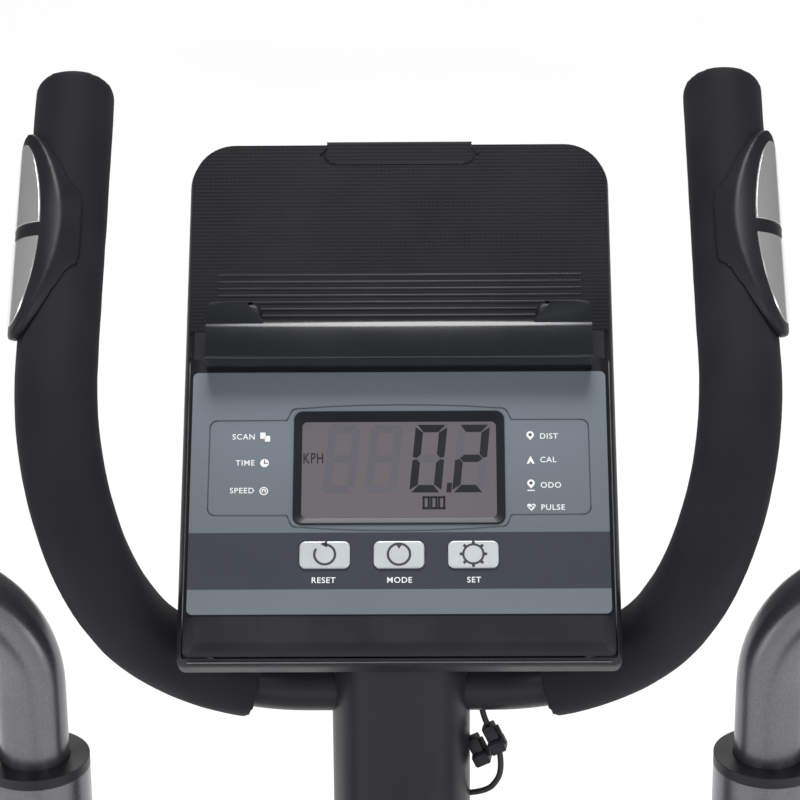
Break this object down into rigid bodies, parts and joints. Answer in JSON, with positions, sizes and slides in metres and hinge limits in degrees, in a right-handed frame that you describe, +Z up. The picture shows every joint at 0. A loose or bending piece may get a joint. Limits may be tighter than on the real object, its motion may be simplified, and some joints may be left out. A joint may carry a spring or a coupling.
{
  "type": "elliptical trainer",
  "caption": "Free-standing elliptical trainer: swinging arms linked to cranked foot bars, a mast with a fixed pulse handlebar and a tilted display console.",
  "frame": {"origin": "on the floor, at the middle of the overall length and width", "axes": "+Z up, +Y forward, the way the user faces, +X to the user's right"},
  "size_m": [0.534, 1.16, 1.5265],
  "materials": {
    "frame_paint": "satin black powder coat",
    "arm_paint": "metallic gunmetal paint",
    "black_plastic": "fine-grained black moulding",
    "foam": "matte closed-cell foam",
    "pedal_plastic": "ribbed black moulding",
    "bright_steel": "zinc plated",
    "contact_steel": "polished plate",
    "flywheel_iron": "turned",
    "belt_rubber": "matte",
    "bush_nylon": "natural nylon",
    "overlay_print": "printed slate-grey film",
    "board_green": "solder mask",
    "cell_wrap": "shrink wrap",
    "lcd_frame": "display glass in a black frame",
    "lcd_glass": "clear window",
    "button_silver": "satin silver"
  },
  "bodies": {
    "frame": {"base_beam": "frame_paint", "front_stabilizer": "frame_paint", "rear_stabilizer": "frame_paint", "end_caps": "black_plastic", "mast": "frame_paint", "mast_cover": "black_plastic", "mast_bolts": "bright_steel", "arm_axle": "bright_steel", "tension_cable": "belt_rubber", "drive_bracket": "frame_paint", "bearings": "bright_steel", "drive_belt": "belt_rubber", "housing_right": "black_plastic", "housing_left": "black_plastic", "handlebar_tube": "frame_paint", "foam_grip_right": "foam", "foam_grip_left": "foam", "pulse_bases": "black_plastic", "pulse_plates": "contact_steel", "pulse_lead": "belt_rubber", "lead_connector": "black_plastic", "console_bracket": "frame_paint", "console_back": "black_plastic", "console_front": "black_plastic", "console_overlay": "overlay_print", "console_screws": "bright_steel", "battery_cover": "black_plastic", "batteries": "cell_wrap", "circuit_board": "board_green", "lcd_module": "lcd_frame", "lcd_window": "lcd_glass"},
    "crank": {"crank_axle": "bright_steel", "drive_pulley": "black_plastic", "crank_arm_right": "frame_paint", "crank_arm_left": "frame_paint"},
    "flywheel_set": {"flywheel": "flywheel_iron", "flywheel_axle": "bright_steel"},
    "magnet_holder": {"magnet_bracket": "frame_paint"},
    "knob": {"tension_knob": "black_plastic"},
    "right_foot": {"foot_bar_right": "frame_paint", "bar_bushes_right": "bush_nylon", "pedal_right": "pedal_plastic"},
    "left_foot": {"foot_bar_left": "frame_paint", "bar_bushes_left": "bush_nylon", "pedal_left": "pedal_plastic"},
    "right_arm": {"arm_lower_right": "arm_paint", "arm_collar_right": "black_plastic", "arm_upper_right": "arm_paint", "arm_grip_right": "foam", "arm_hardware_right": "bright_steel"},
    "left_arm": {"arm_lower_left": "arm_paint", "arm_collar_left": "black_plastic", "arm_upper_left": "arm_paint", "arm_grip_left": "foam", "arm_hardware_left": "bright_steel"},
    "right_wheel": {"wheel_right": "belt_rubber"},
    "left_wheel": {"wheel_left": "belt_rubber"},
    "reset_key": {"button_reset": "button_silver"},
    "mode_key": {"button_mode": "button_silver"},
    "set_key": {"button_set": "button_silver"}
  },
  "joints": [
    {"name": "crank_spin", "type": "hinge", "parent": "frame", "child": "crank", "pos_m": [0, -0.24808, 0.355], "axis": [1, 0, 0], "continuous": true},
    {"name": "right_foot_turn", "type": "hinge", "parent": "crank", "child": "right_foot", "pos_m": [0, -0.24808, 0.23], "axis": [1, 0, 0], "continuous": true},
    {"name": "left_foot_turn", "type": "hinge", "parent": "crank", "child": "left_foot", "pos_m": [0, -0.24808, 0.48], "axis": [1, 0, 0], "continuous": true},
    {"name": "flywheel_spin", "type": "hinge", "parent": "frame", "child": "flywheel_set", "pos_m": [0, -0.43808, 0.255], "axis": [1, 0, 0], "continuous": true},
    {"name": "arm_swing_right", "type": "hinge", "parent": "frame", "child": "right_arm", "pos_m": [0.168, 0.48, 0.9], "axis": [1, 0, 0], "range_deg": [-14, 14]},
    {"name": "arm_swing_left", "type": "hinge", "parent": "frame", "child": "left_arm", "pos_m": [-0.168, 0.48, 0.9], "axis": [1, 0, 0], "range_deg": [-14, 14]},
    {"name": "tension_turn", "type": "hinge", "parent": "frame", "child": "knob", "pos_m": [0, 0.44348, 1.00862], "axis": [0, -0.999, -0.0436], "range_deg": [0, 315]},
    {"name": "magnet_swing", "type": "hinge", "parent": "frame", "child": "magnet_holder", "pos_m": [0, -0.34194, 0.33011], "axis": [-1, 0, 0], "range_deg": [0, 1.26]},
    {"name": "right_wheel_roll", "type": "hinge", "parent": "frame", "child": "right_wheel", "pos_m": [0.2075, 0.558, 0.028], "axis": [1, 0, 0], "continuous": true},
    {"name": "left_wheel_roll", "type": "hinge", "parent": "frame", "child": "left_wheel", "pos_m": [-0.2075, 0.558, 0.028], "axis": [1, 0, 0], "continuous": true},
    {"name": "reset_press", "type": "slide", "parent": "frame", "child": "reset_key", "axis": [0, 0.8028, -0.5962], "range_m": [0, 0.001], "stiffness_N_per_m": 400},
    {"name": "mode_press", "type": "slide", "parent": "frame", "child": "mode_key", "axis": [0, 0.8028, -0.5962], "range_m": [0, 0.001], "stiffness_N_per_m": 400},
    {"name": "set_press", "type": "slide", "parent": "frame", "child": "set_key", "axis": [0, 0.8028, -0.5962], "range_m": [0, 0.001], "stiffness_N_per_m": 400}
  ],
  "couplings": [
    {"joint": "right_foot_turn", "follows": "crank_spin", "ratio": -1},
    {"joint": "left_foot_turn", "follows": "crank_spin", "ratio": -1},
    {"joint": "flywheel_spin", "follows": "crank_spin", "ratio": 6.5108},
    {"joint": "arm_swing_left", "follows": "arm_swing_right", "ratio": -1},
    {"joint": "magnet_swing", "follows": "tension_turn", "ratio": 0.004}
  ]
}
